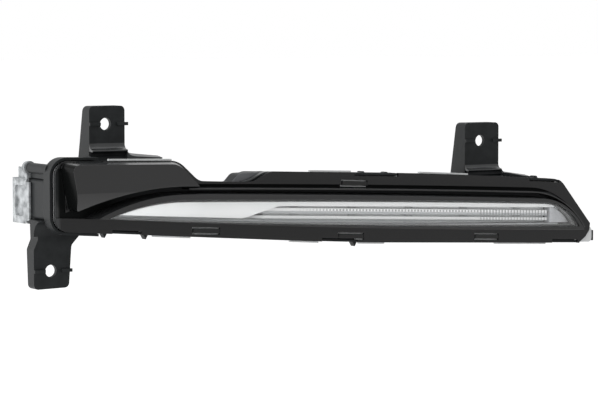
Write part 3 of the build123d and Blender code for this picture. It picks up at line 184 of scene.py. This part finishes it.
def banded(tree, value, low, high, shades):
    """Shades in turn as value runs from low to high; shades are pairs of a share and a hex colour."""
    share = add(tree, "MapRange", {"Value": value, "From Min": low, "From Max": high})
    ramp = add(tree, "ValToRGB", {"Fac": share}, out=None)
    points = ramp.color_ramp.elements
    while len(points) < len(shades):
        points.new(0.5)
    for point, (place, _) in zip(points, shades):
        point.position = place
    for point, (_, colour) in zip(points, shades):
        point.color = linear(colour)
    return ramp.outputs[0]


def painted(tree, ground, *coats):
    """A ground colour under coats of others, each given as its share and its colour."""
    for share, colour in coats:
        ground = add(tree, "Mix", {0: share, 6: ground, 7: colour}, out=2, data_type="RGBA")
    return ground


def near_edge(tree, rounded):
    """1 along the sharp edges of a piece, where the rounded normal turns away from the flat one."""
    flat = add(tree, "NewGeometry", out="Normal")
    cosine = add(tree, "VectorMath", {0: rounded, 1: flat}, out="Value", operation="DOT_PRODUCT")
    return add(tree, "MapRange", {"Value": cosine, "From Min": EDGE_BEGINS, "From Max": EDGE_WHOLE})


def finish_of(name, dark, light, patch, rough, vary, grain, relief,
              edge=EDGE_RADIUS, stretch=(1, 1, 1), tones=None, **shader):
    """A solid finish: two shades in patches, roughness that varies with them, a grain and rounded edges.

    Patch, grain, relief and edge are in millimetres. Tones, where it is given, takes the node tree,
    the axes and the patches' colour, and returns what the shader is fed with in their place.
    """
    material, tree = new_material(name)
    place = add(tree, "TexCoord", out="Object")
    along = add(tree, "Mapping", {"Vector": place, "Scale": stretch})
    patches = add(tree, "TexNoise", {"Vector": along, "Scale": 1 / (patch * MM), "Detail": PATCH_DETAIL})
    grains = add(tree, "TexNoise", {"Vector": along, "Scale": 1 / (grain * MM), "Detail": GRAIN_DETAIL})
    shade = banded(tree, patches, PATCH_LOW, PATCH_HIGH, [(0.0, dark), (1.0, light)])
    rounded = add(tree, "Bevel", {"Radius": edge * MM}, samples=EDGE_RAYS)
    feeds = {
        **shader,
        "Base Color": shade,
        "Roughness": add(
            tree,
            "MapRange",
            {"Value": patches, "To Min": rough - vary, "To Max": rough + vary},
        ),
        "Normal": add(
            tree,
            "Bump",
            {"Strength": GRAIN_STRENGTH, "Distance": relief * MM, "Height": grains, "Normal": rounded},
        ),
    }
    if tones:
        axes = add(tree, "SeparateXYZ", {"Vector": place}, out=None).outputs
        feeds.update(tones(tree, axes, shade))
    add(tree, "OutputMaterial", {"Surface": add(tree, "BsdfPrincipled", feeds)}, out=None)
    return material


def clear_of(name, colour, milky, rough, ior, edge, milky_behind):
    """A clear moulding that bends light, and lets lamps reach what it covers.

    Its side walls, its edges, and all of it behind one depth are painted milky grey, as painted light
    for a clear wall seen edge-on; along the edges this is a painted highlight.
    """
    material, tree = new_material(name)
    depth = add(tree, "SeparateXYZ", {"Vector": add(tree, "TexCoord", out="Object")}, out="Y")
    facing = add(tree, "SeparateXYZ", {"Vector": add(tree, "NewGeometry", out="Normal")}, out="Y")
    rounded = add(tree, "Bevel", {"Radius": edge * MM}, samples=EDGE_RAYS)
    rim = add(tree, "Math", {0: depth, 1: milky_behind}, operation="GREATER_THAN")
    turn = add(tree, "Math", {0: facing}, operation="ABSOLUTE")
    wall = add(tree, "Math", {0: turn, 1: STEEP}, operation="LESS_THAN")
    # Painted light: milky grey on the side walls, a painted highlight on the edges, and milk on the rim.
    milk = [(wall, WALL_MILK), (near_edge(tree, rounded), EDGE_MILK), (rim, RIM_MILK)]
    painted_milk = joined(tree, "MAXIMUM", *[joined(tree, "MULTIPLY", where, much) for where, much in milk])
    clear = add(tree, "Math", {0: 1.0, 1: painted_milk}, operation="SUBTRACT")
    glass = add(
        tree,
        "BsdfPrincipled",
        {
            "IOR": ior,
            "Base Color": painted(tree, linear(colour), (painted_milk, linear(milky))),
            "Roughness": add(
                tree,
                "MapRange",
                {"Value": painted_milk, "To Min": rough, "To Max": MILKY_ROUGHNESS},
            ),
            "Transmission Weight": clear,
            "Normal": rounded,
        },
    )
    open_way = add(tree, "BsdfTransparent", {"Color": linear("#ffffff")})
    ray = add(tree, "LightPath", out=None).outputs
    lit = joined(tree, "MAXIMUM", ray["Is Shadow Ray"], ray["Is Diffuse Ray"])
    passing = joined(tree, "MULTIPLY", lit, clear)
    shader = add(tree, "MixShader", {0: passing, 1: glass, 2: open_way})
    add(tree, "OutputMaterial", {"Surface": shader}, out=None)
    return material


# Finishes


def housing_tones(tree, axes, shade):
    """Housing: the front of the fairing behind the waist is painted lighter than the grain around it, as
    painted light.
    """
    front = between(tree, axes["Y"], FAIRING_FRONT_Y - FRONT_SLACK, FAIRING_FRONT_Y + FRONT_SLACK)
    across = between(tree, axes["X"], FAIRING_LEFT_X, FAIRING_RIGHT_X)
    # Painted light: a lighter grey on the fairing's front, where light falls on it.
    fairing_painted_light = joined(tree, "MULTIPLY", front, across)
    return {"Base Color": painted(tree, shade, (fairing_painted_light, linear("#626365")))}


def talc_polypropylene():
    """Housing: talc filled polypropylene, spark-eroded mould grain, matte with flow patches."""
    return finish_of("talc_polypropylene", "#141617", "#1f2122", patch=7.0, rough=0.50, vary=0.09,
                     grain=0.7, relief=0.06, tones=housing_tones, **{"Specular IOR Level": 0.14})


def polished_polypropylene():
    """Lug feet: the housing's plastic off a polished part of the mould, which catches the light."""
    return finish_of("polished_polypropylene", "#191b1c", "#242627", patch=7.0, rough=0.34, vary=0.05,
                     grain=0.7, relief=0.03)


def shaded_recess():
    """Recess under the lug feet: the housing's plastic with no shine and a flat dark colour, as painted
    shade under the roll.
    """
    return finish_of("shaded_recess", "#1c1d1e", "#242526", patch=7.0, rough=0.9, vary=0.02,
                     grain=0.7, relief=0.06, **{"Specular IOR Level": 0.0})


def surround_tones(tree, axes, shade):
    """Gloss black, but satin on the flange; the wing's left side and the channel's floor lose their shine
    and take flat dark colours, as painted shade.

    Faces that look up lose most of their shine and are painted lighter, as painted top light; the rim
    left of the wing is painted a little lighter, as painted light; and the edges ahead of the flange
    carry a painted highlight line. The channel's floor is painted lighter along its narrow run, as
    painted light.
    """
    normal = add(tree, "NewGeometry", out="Normal")
    turned = add(tree, "SeparateXYZ", {"Vector": normal}, out=None).outputs
    side = add(tree, "Math", {0: turned["X"], 1: -STEEP}, operation="LESS_THAN")
    left = add(tree, "Math", {0: axes["X"], 1: WING_SIDE_X}, operation="LESS_THAN")
    ahead = add(tree, "Math", {0: axes["Y"], 1: FLANGE_FRONT_Y - FRONT_SLACK}, operation="LESS_THAN")
    # Painted shade: the wing's left side, ahead of the flange, loses its shine and takes a flat dark
    # colour.
    wall = joined(tree, "MULTIPLY", side, left, ahead)

    # Painted light: the rim left of the wing is painted a little lighter.
    rim_from, rim_to = LEFT_RIM_X + RIM_FADE, LEFT_RIM_X - RIM_FADE
    rim = add(tree, "MapRange", {"Value": axes["X"], "From Min": rim_from, "From Max": rim_to})
    inside = add(tree, "Math", {0: 1.0, 1: rim}, operation="SUBTRACT")
    channel = between(tree, axes["Y"], CHANNEL_FLOOR_Y - FACE_SLACK, CHANNEL_FLOOR_Y + FACE_SLACK)
    # Painted shade: the channel's floor loses its shine and takes a flat dark colour.
    floor = joined(tree, "MULTIPLY", channel, inside)
    run = {"Value": axes["X"], "From Min": CHANNEL_WIDE_X, "From Max": CHANNEL_NARROW_X}
    narrow = add(tree, "MapRange", run)
    height = above_line(tree, axes, GROOVE_FOOT_Z)
    below = add(tree, "Math", {0: height, 1: 0.0}, operation="LESS_THAN")
    # Painted light: the channel's floor is painted lighter along its narrow run, below the groove's foot.
    narrow_painted_light = joined(tree, "MULTIPLY", narrow, below)

    flange = between(tree, axes["Y"], FLANGE_FRONT_Y - FACE_SLACK, FLANGE_BACK_Y + FACE_SLACK)
    satin = add(tree, "Math", {0: flange, 1: -SATIN_LOSS, 2: GLOSS_LEVEL}, operation="MULTIPLY_ADD")
    up = add(tree, "Math", {0: turned["Z"], 1: STEEP}, operation="GREATER_THAN")
    # Painted light: faces that look up lose most of their shine and are painted lighter, as top light.
    upward_painted_light = joined(tree, "MULTIPLY", up, UPWARD_DULLNESS)
    dull = joined(tree, "MAXIMUM", wall, floor, upward_painted_light)
    kept = add(tree, "Math", {0: dull, 1: -DULL_LOSS, 2: 1.0}, operation="MULTIPLY_ADD")

    rounded = add(tree, "Bevel", {"Radius": EDGE_RADIUS * MM}, samples=EDGE_RAYS)
    # Painted highlight: a light line along the edges ahead of the flange.
    line = joined(tree, "MULTIPLY", near_edge(tree, rounded), ahead, PAINTED_EDGE_HIGHLIGHT)
    colour = painted(
        tree,
        shade,
        (rim, linear("#2c2d2e")),
        (line, linear("#525455")),
        (upward_painted_light, linear("#2b2c2d")),
        (floor, painted(tree, linear("#101111"), (narrow_painted_light, linear("#373839")))),
        (wall, linear("#0b0c0c")),
    )
    return {"Base Color": colour, "Specular IOR Level": joined(tree, "MULTIPLY", satin, kept)}


def gloss_black_abs():
    """Surround: ABS from a polished mould, black enough that only its gloss shows."""
    return finish_of("gloss_black_abs", "#060607", "#0a0a0b", patch=30.0, rough=0.22, vary=0.04,
                     grain=6.0, relief=0.01, edge=0.5, tones=surround_tones)


def clear_polycarbonate():
    """Outer lens: clear hard-coated polycarbonate, painted milky grey where it shows edge-on, as painted
    light.
    """
    return clear_of("clear_polycarbonate", "#fdfefe", "#c6c8c8", rough=0.01, ior=1.5, edge=0.8,
                    milky_behind=LENS_RIM_Y)


def full_teeth(tree, axes):
    """How dark the prisms are where they fill a guide, which is along its right end only."""
    full = add(tree, "Math", {0: axes["X"], 1: TEETH_FULL_X}, operation="GREATER_THAN")
    return joined(tree, "MULTIPLY", full, FULL_TEETH)


def toothed(tree, axes, strength):
    """Strength on one half of each pitch along X, as the prisms behind a guide darken it."""
    pitches = add(tree, "Math", {0: axes["X"], 1: TOOTH_PITCH}, operation="DIVIDE")
    turn = add(tree, "Math", {0: pitches}, operation="FRACT")
    tooth = add(tree, "Math", {0: turn, 1: 0.5}, operation="LESS_THAN")
    return joined(tree, "MULTIPLY", tooth, strength)


def upper_guide_tones(tree, axes, shade):
    """Upper guide: a painted highlight along its upper half and painted shade below, as on a rod lit from
    above, with a fine row of its prisms showing.
    """
    height = above_line(tree, axes, UPPER_GUIDE_Z)
    shades = [
        (0.0, "#a4a6a8"),
        (0.12, "#bcbec0"),
        (0.42, "#c0c2c4"),
        (0.5, "#fafafa"),
        (0.85, "#ffffff"),
        (1.0, "#a8aaaa"),
    ]
    # Painted highlight and painted shade in bands across the guide's height.
    painted_guide_light = banded(tree, height, -UPPER_GUIDE_HALF, UPPER_GUIDE_HALF, shades)
    row = between(tree, height, 0.0, TEETH_TALL)
    run = {"Value": axes["X"], "From Min": TEETH_SHOW_X, "From Max": TEETH_CLEAR_X}
    fine = joined(tree, "MULTIPLY", row, add(tree, "MapRange", run), ROW_TEETH)
    dark = toothed(tree, axes, joined(tree, "MAXIMUM", fine, full_teeth(tree, axes)))
    return {"Base Color": painted(tree, painted_guide_light, (dark, linear("#5c5f61")))}


def lower_guide_tones(tree, axes, shade):
    """Lower guide: a painted light band, greyer towards its edges as painted shade, with prisms at its
    right end only.
    """
    height = above_line(tree, axes, LOWER_GUIDE_Z)
    shades = [(0.0, "#c8caca"), (0.3, "#f6f7f7"), (0.8, "#f8f8f8"), (1.0, "#cfd1d1")]
    # Painted light in a band across the guide's height, greyer at its edges.
    painted_guide_light = banded(tree, height, -LOWER_GUIDE_HALF, LOWER_GUIDE_HALF, shades)
    dark = toothed(tree, axes, full_teeth(tree, axes))
    return {"Base Color": painted(tree, painted_guide_light, (dark, linear("#8c8f90")))}


def upper_acrylic():
    """Upper light guide: acrylic, painted milky white for the light its prisms throw back, as painted
    light.
    """
    return finish_of("upper_guide_acrylic", "#c8caca", "#e0e1e1", patch=20.0, rough=0.22, vary=0.03,
                     grain=3.0, relief=0.01, edge=0.3, tones=upper_guide_tones)


def lower_acrylic():
    """Lower light guide: the same acrylic, painted evenly light for the light its prisms throw back."""
    return finish_of("lower_guide_acrylic", "#c8caca", "#e0e1e1", patch=20.0, rough=0.22, vary=0.03,
                     grain=3.0, relief=0.01, edge=0.3, tones=lower_guide_tones)


def blade_tones(tree, axes, shade):
    """Blade: the film is thickest at its broad nose, and mirrors most there."""
    run = {"Value": axes["X"], "From Min": BLADE_NOSE_X, "From Max": BLADE_PLAIN_X}
    return {"Metallic": add(tree, "MapRange", {**run, "To Min": THICK_FILM, "To Max": THIN_FILM})}


def satin_chrome_film():
    """Blade: satin metallised polycarbonate, near white in an even light."""
    return finish_of("satin_chrome_film", "#f8f9f9", "#ffffff", patch=60.0, rough=0.34, vary=0.03,
                     grain=1.5, relief=0.004, edge=0.2, tones=blade_tones)


def reflector_tones(tree, axes, shade):
    """Reflector: painted reflections in grey and white across its height, along its flutes."""
    shades = [
        (0.0, "#5e6061"),
        (0.15, "#646667"),
        (0.20, "#f6f7f7"),
        (0.27, "#dcdedf"),
        (0.37, "#d2d4d5"),
        (0.41, "#a8aaac"),
        (0.52, "#aeb0b2"),
        (0.65, "#f2f3f3"),
        (1.0, "#ffffff"),
    ]
    height = above_line(tree, axes, LOWER_GUIDE_Z)
    # Painted reflection: grey and white across the reflector's height, with the streaked patches over
    # them.
    painted_reflection_bands = banded(tree, height, REFLECTOR_FOOT, REFLECTOR_TOP, shades)
    return {"Base Color": painted(tree, painted_reflection_bands, (STREAKS, shade))}


def aluminised_reflector():
    """Reflector: aluminium evaporated on a moulded part, streaked along its flutes."""
    return finish_of("aluminised_reflector", "#8f9294", "#d8dbdd", patch=6.0, rough=0.34, vary=0.08,
                     grain=1.6, relief=0.03, stretch=(0.05, 1, 1), tones=reflector_tones, Metallic=0.4)


def end_chrome():
    """End reflector: the same evaporated aluminium on a plain face, an even cool grey."""
    return finish_of("end_chrome", "#b4b5b8", "#cbccd0", patch=8.0, rough=0.34, vary=0.05,
                     grain=1.6, relief=0.02, Metallic=0.3)


def frame_tones(tree, axes, shade):
    """Inner frame: painted light grey on its low wall as far as the end reflector, as painted reflection,
    and black elsewhere.
    """
    wall = add(tree, "Math", {0: axes["Y"], 1: FRAME_WALL_Y}, operation="LESS_THAN")
    left = add(tree, "Math", {0: axes["X"], 1: FRAME_BRIGHT_X}, operation="LESS_THAN")
    # Painted reflection: the low wall, as far as the end reflector, takes the light streaked grey.
    bright = joined(tree, "MULTIPLY", wall, left)
    return {"Base Color": painted(tree, linear("#2c2d2e"), (bright, shade))}


def metallised_frame():
    """Inner frame: ABS with a slight metal shine, painted light grey on its low wall as painted
    reflection, streaked along the window.
    """
    return finish_of("metallised_abs", "#7c7f81", "#c4c7c9", patch=6.0, rough=0.42, vary=0.05,
                     grain=1.0, relief=0.02, stretch=(0.06, 1, 1), tones=frame_tones, Metallic=0.3)


def die_cast_aluminium():
    """Heat sink: raw pressure die-casting, light grey with darker cold-flow patches.

    The patches of the real skin are finer, and are drawn as coarse as they need to show.
    """
    return finish_of("die_cast_aluminium", "#707375", "#b2b5b7", patch=4.0, rough=0.55, vary=0.08,
                     grain=1.4, relief=0.15, edge=0.8, Metallic=0.55)


def seal_rubber():
    """Seals and cap: moulded silicone rubber, a dull soft black."""
    return finish_of("silicone_rubber", "#101011", "#18181a", patch=8.0, rough=0.62, vary=0.06,
                     grain=0.8, relief=0.03)


def zinc_steel():
    """Screws: zinc plated steel, a bright slightly uneven grey metal."""
    return finish_of("zinc_plated_steel", "#9ea1a4", "#c2c5c8", patch=2.0, rough=0.32, vary=0.08,
                     grain=0.6, relief=0.01, Metallic=1.0)


def board_laminate():
    """Boards: glass-epoxy laminate under solder resist, a smooth dark green."""
    return finish_of("green_solder_resist", "#0c3a22", "#14522f", patch=6.0, rough=0.35, vary=0.05,
                     grain=0.8, relief=0.02)


def phosphor():
    """LEDs: phosphor in cast silicone, an even matte yellow."""
    return finish_of("led_phosphor", "#d8b23a", "#e6c650", patch=2.0, rough=0.4, vary=0.05,
                     grain=0.5, relief=0.01)


def gap_filler():
    """Thermal pad: ceramic-filled silicone sheet, a soft matte grey."""
    return finish_of("gap_filler_grey", "#8a8a92", "#a0a0a8", patch=3.0, rough=0.7, vary=0.05,
                     grain=0.6, relief=0.03)


def copper_lead():
    """Flat lead: copper tracks laminated under polyimide, a smooth amber brown."""
    return finish_of("amber_polyimide", "#7a4a14", "#94602a", patch=3.0, rough=0.35, vary=0.05,
                     grain=0.8, relief=0.01)


def black_epoxy():
    """Board parts: moulded epoxy compound, black with a fine dull grain."""
    return finish_of("black_epoxy", "#121213", "#1e1e20", patch=2.0, rough=0.5, vary=0.06,
                     grain=0.5, relief=0.02)


def tinned_brass():
    """Connector pins: stamped brass with a tin flash, a pale yellow metal."""
    return finish_of("tinned_brass", "#b39a55", "#cdb878", patch=1.0, rough=0.3, vary=0.05,
                     grain=0.4, relief=0.01, Metallic=1.0)


def white_membrane():
    """Vent membrane: expanded fluoropolymer film on felt, a chalky white."""
    return finish_of("white_membrane", "#d4d4d2", "#e8e8e6", patch=1.5, rough=0.85, vary=0.05,
                     grain=0.4, relief=0.04)


def natural_acetal():
    """Guide clips: moulded acetal without pigment, milky white with a slight shine."""
    return finish_of("natural_acetal", "#d6d8d8", "#e8e9e9", patch=3.0, rough=0.4, vary=0.05,
                     grain=0.8, relief=0.02)


FINISHES = [
    (talc_polypropylene, ["housing", "connector_socket"]),
    (gloss_black_abs, ["black_surround"]),
    (clear_polycarbonate, ["outer_lens"]),
    (upper_acrylic, ["upper_light_guide"]),
    (lower_acrylic, ["lower_light_guide"]),
    (satin_chrome_film, ["blade_reflector"]),
    (aluminised_reflector, ["fluted_reflector"]),
    (end_chrome, ["end_reflector"]),
    (metallised_frame, ["inner_frame"]),
    (die_cast_aluminium, ["heat_sink"]),
    (seal_rubber, ["lens_seal", "heat_sink_gasket", "connector_seal", "vent_cap"]),
    (zinc_steel, ["frame_screws", "led_board_screws", "heat_sink_screws", "driver_board_screws"]),
    (board_laminate, ["led_board", "driver_board"]),
    (phosphor, ["guide_leds"]),
    (gap_filler, ["thermal_pad"]),
    (copper_lead, ["board_lead"]),
    (black_epoxy, ["driver_parts"]),
    (tinned_brass, ["connector_pins"]),
    (white_membrane, ["vent_membrane"]),
    (natural_acetal, ["guide_clips"]),
]


def dress(finish, nodes):
    """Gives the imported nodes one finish."""
    material = finish()
    for name in nodes:
        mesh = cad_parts[name].data
        mesh.materials.clear()
        mesh.materials.append(material)


# Thin mouldings, in millimetres

# How far they sink into the lug's face, and the angle past which two faces meet in a sharp edge
SUNK = 0.3
SHARP_ANGLE = math.radians(35)

# For the foot of each upper lug: its left and right edge, the top of the roll, its radius, and how
# far forward the recess under it stands at its top and foot
LUG_FEET = [
    (-11.1, 13.0, -11.7, 3.9, 1.6, 1.9),
    (268.8, 296.4, -32.3, 3.5, 2.6, 4.9),
]
LIP_RADIUS = 0.6
HOLLOW_POINTS, LIP_POINTS = 13, 11
RECESS_GAP = 0.3
RECESS_TALL = 2.4
RECESS_SHORT = 0.4

# For the ledge right of each lug: its ends in X, its top at each end, and its foot
SIDE_LEDGES = [
    (12.8, 37.0, -17.8, -20.2, -23.9),
    (296.2, 320.0, -37.4, -40.8, -44.0),
]
LEDGE_BACK, LEDGE_FRONT = 1.5, -4.2
# How far its top falls to the front, and the share of that which is gone at its far end
LEDGE_FALL, LEDGE_FLATTENS = 1.8, 0.5
FILLET_RISE, FILLET_REACH = 3.2, 1.6
# Its sections crowd towards the lug by this power
LEDGE_SECTIONS, LEDGE_CROWDING = 33, 1.6

# Wall that follows the step at the waist, in front of the fairing
WAIST_LEFT, WAIST_RIGHT = 86.0, 104.5
WAIST_Z, WAIST_RISE = -36.7, 5.4
WAIST_BACK, WAIST_FRONT = -13.8, -18.2
WAIST_WALL = 1.0
WAIST_SECTIONS = 29

# Sill that closes the foot of the slot in the fluted reflector: X and foot at each end
SILL_ENDS_X = np.array([55.0, 100.0])
SILL_FOOT = np.array([-59.8, -62.3])
SILL_TALL = 1.7
SILL_BACK, SILL_FRONT = -17.5, -19.1


def solid_along(name, loops, material):
    """A closed skin over cross-sections: loops has the shape sections, points, 3, in millimetres.

    Point j of section i joins point j of section i + 1, and the first and last sections are capped.
    """
    sections, points = loops.shape[:2]
    rows = np.arange(sections - 1)[:, None] * points
    here = np.arange(points)[None, :]
    there = (here + 1) % points
    quads = np.stack([rows + here, rows + there, rows + points + there, rows + points + here], axis=-1)
    faces = quads.reshape(-1, 4).tolist()
    faces.append(list(range(points)))
    faces.append(list(range((sections - 1) * points, sections * points)))
    mesh = bpy.data.meshes.new(name)
    mesh.from_pydata((loops.reshape(-1, 3) * MM).tolist(), [], faces)
    shape = bmesh.new()
    shape.from_mesh(mesh)
    bmesh.ops.recalc_face_normals(shape, faces=shape.faces)
    shape.to_mesh(mesh)
    shape.free()
    mesh.shade_smooth()
    mesh.set_sharp_from_angle(angle=SHARP_ANGLE)
    mesh.materials.append(material)
    piece = bpy.data.objects.new(name, mesh)
    bpy.context.scene.collection.objects.link(piece)
    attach(piece, BODY)


def pulled(profile, left, right):
    """A profile of Y and Z pairs pulled straight along X, as two cross-sections."""
    ends = [np.column_stack([np.full(len(profile), x), profile]) for x in (left, right)]
    return np.stack(ends)


def walled(x, back, front, back_foot, back_top, front_top, front_foot):
    """Four-cornered cross-sections at each x between two depths, from the heights of their corners."""
    corners = [(back, back_foot), (back, back_top), (front, front_top), (front, front_foot)]
    return np.stack([np.stack([x, np.full_like(x, y), z], axis=-1) for y, z in corners], axis=1)


def foot_roll(top, radius):
    """Roll at a lug's foot: a hollow quarter circle forward from its face, then a round lip.

    With t from 0 to a quarter turn the hollow is (r cos t - r, top - r sin t), and the lip is half
    a circle of its own radius below the end of that.
    """
    quarter = np.linspace(0.0, math.pi / 2, HOLLOW_POINTS)
    half = np.linspace(0.0, math.pi, LIP_POINTS)
    hollow = np.column_stack([radius * np.cos(quarter) - radius, top - radius * np.sin(quarter)])
    lip_middle = top - radius - LIP_RADIUS
    lip = np.column_stack([-radius - LIP_RADIUS * np.sin(half), lip_middle + LIP_RADIUS * np.cos(half)])
    foot = lip_middle - LIP_RADIUS
    return np.vstack([[[SUNK, top + SUNK]], hollow, lip[1:], [[SUNK, foot]]])


def foot_recess(top, radius, upper_reach, lower_reach):
    """Recess under a roll: four corners from under its lip down the lug's face."""
    under = top - radius - 2 * LIP_RADIUS + RECESS_GAP
    foot = under - RECESS_GAP - RECESS_TALL
    return np.array([[SUNK, under], [-upper_reach, under], [-lower_reach, foot], [SUNK, foot]])


def side_ledge(left, right, top_left, top_right, foot_z):
    """Ledge from a lug along the housing's top, in sections across X.

    Its top falls in a straight line, with a hollow fillet rise * exp(-x / reach) against the lug,
    and slopes down to its front.
    """
    x = left + (right - left) * np.linspace(0.0, 1.0, LEDGE_SECTIONS) ** LEDGE_CROWDING
    share = (x - left) / (right - left)
    fillet = FILLET_RISE * np.exp(-(x - left) / FILLET_REACH)
    top = top_left + (top_right - top_left) * share + fillet
    front = top - LEDGE_FALL * (1 - LEDGE_FLATTENS * share)
    foot = np.full_like(x, foot_z)
    return walled(x, LEDGE_BACK, LEDGE_FRONT, foot, top, front, foot)


def waist_wall():
    """Wall in sections across X, whose top rises by 3 s^2 - 2 s^3 with s its share of the run."""
    share = np.linspace(0.0, 1.0, WAIST_SECTIONS)
    x = WAIST_LEFT + (WAIST_RIGHT - WAIST_LEFT) * share
    top = WAIST_Z + WAIST_RISE * (3 * share**2 - 2 * share**3)
    foot = top - WAIST_WALL
    return walled(x, WAIST_BACK, WAIST_FRONT, foot, top, top, foot)


def reflector_sill():
    """Sill as two cross-sections, one at each end of its sloping foot."""
    top = SILL_FOOT + SILL_TALL
    return walled(SILL_ENDS_X, SILL_BACK, SILL_FRONT, SILL_FOOT, top, top, SILL_FOOT)


def mould_trim():
    """All the thin mouldings, on the lamp."""
    foot_finish = polished_polypropylene()
    # The recesses under the rolls take a finish with no shine, as painted shade.
    recess_painted_shade = shaded_recess()
    for place, (left, right, top, radius, upper_reach, lower_reach) in enumerate(LUG_FEET, 1):
        solid_along(f"lug_foot_roll_{place}", pulled(foot_roll(top, radius), left, right), foot_finish)
        recess = pulled(foot_recess(top, radius, upper_reach, lower_reach), left, right - RECESS_SHORT)
        solid_along(f"lug_foot_recess_{place}", recess, recess_painted_shade)
    for place, ends in enumerate(SIDE_LEDGES, 1):
        solid_along(f"lug_side_ledge_{place}", side_ledge(*ends), foot_finish)
    solid_along("waist_wall", waist_wall(), foot_finish)
    solid_along("reflector_sill", reflector_sill(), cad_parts["fluted_reflector"].data.materials[0])


# Stage, lights and camera


def softbox(name, place, size, power, target):
    """A rectangular area light that faces the lamp: its -Z axis points at the target."""
    light = bpy.data.lights.new(name, "AREA")
    light.shape = "RECTANGLE"
    light.size, light.size_y = size
    light.energy = power
    lamp = bpy.data.objects.new(name, light)
    bpy.context.scene.collection.objects.link(lamp)
    turn = (target - Vector(place)).to_track_quat("-Z", "Y").to_matrix().to_4x4()
    lamp.matrix_world = Matrix.Translation(place) @ turn


def seen_directly(tree, strength):
    """Strength for rays from the camera, or off gloss or through glass, and none for diffuse light."""
    ray = add(tree, "LightPath", out=None).outputs
    direct = [ray["Is Camera Ray"], ray["Is Glossy Ray"], ray["Is Transmission Ray"]]
    return joined(tree, "MULTIPLY", joined(tree, "MAXIMUM", *direct), strength)


def pale_floor(height):
    """A wide floor, open to views from below, lifted to white for the camera and for reflections."""
    half = FLOOR_SIZE / 2
    mesh = bpy.data.meshes.new("floor")
    corners = [(-half, -half, height), (half, -half, height), (half, half, height), (-half, half, height)]
    mesh.from_pydata(corners, [], [(0, 1, 2, 3)])
    material, tree = new_material("pale_floor")
    paint = add(
        tree,
        "BsdfPrincipled",
        {
            "Base Color": linear("#f4f4f4"),
            "Roughness": FLOOR_ROUGHNESS,
            "Emission Color": linear("#ffffff"),
            "Emission Strength": seen_directly(tree, FLOOR_GLOW),
        },
    )
    back = add(tree, "NewGeometry", out="Backfacing")
    below = add(tree, "BsdfTransparent")
    shader = add(tree, "MixShader", {0: back, 1: paint, 2: below})
    add(tree, "OutputMaterial", {"Surface": shader}, out=None)
    mesh.materials.append(material)
    floor = bpy.data.objects.new("floor", mesh)
    bpy.context.scene.collection.objects.link(floor)


def white_room(level):
    """The world: white where it is seen, and a lower even level as light."""
    world = bpy.data.worlds.new("white_room")
    world.use_nodes = True
    tree = world.node_tree
    tree.nodes.clear()
    strength = joined(tree, "ADD", seen_directly(tree, 1.0 - level), level)
    sky = add(tree, "Background", {"Color": linear("#ffffff"), "Strength": strength})
    output = add(tree, "OutputWorld", {"Surface": sky}, out=None)
    output.is_active_output = True
    bpy.context.scene.world = world


def photo_camera():
    """The camera: the lamp's origin lies on its pixel at its distance, seen from the view's angles."""
    east, north = math.cos(VIEW_AZIMUTH), math.sin(VIEW_AZIMUTH)
    level = math.cos(VIEW_ELEVATION)
    right = Vector((east, north, 0.0))
    ahead = Vector((-north * level, east * level, -math.sin(VIEW_ELEVATION)))
    up = right.cross(ahead)
    focal_pixels = FOCAL_LENGTH / SENSOR_WIDTH * PHOTO_WIDTH
    across = (ORIGIN_PIXEL[0] - PHOTO_WIDTH / 2) / focal_pixels
    above = (PHOTO_HEIGHT / 2 - ORIGIN_PIXEL[1]) / focal_pixels
    place = -ORIGIN_DISTANCE * (ahead + across * right + above * up)
    data = bpy.data.cameras.new("camera")
    data.sensor_fit = "HORIZONTAL"
    data.sensor_width = SENSOR_WIDTH
    data.lens = FOCAL_LENGTH
    camera = bpy.data.objects.new("camera", data)
    turn = Matrix((right, up, -ahead)).transposed().to_4x4()
    camera.matrix_world = Matrix.Translation(place) @ turn
    bpy.context.scene.collection.objects.link(camera)
    bpy.context.scene.camera = camera


for finish, nodes in FINISHES:
    dress(finish, nodes)
mould_trim()

low, high = (Vector(corner) for corner in cad_box)
pale_floor(low.z - FLOOR_DROP)
white_room(ROOM_LEVEL)
for name, (place, size, power) in SOFTBOXES.items():
    softbox(name, place, size, power, (low + high) / 2)
photo_camera()
bpy.context.scene.view_settings.view_transform = "Standard"
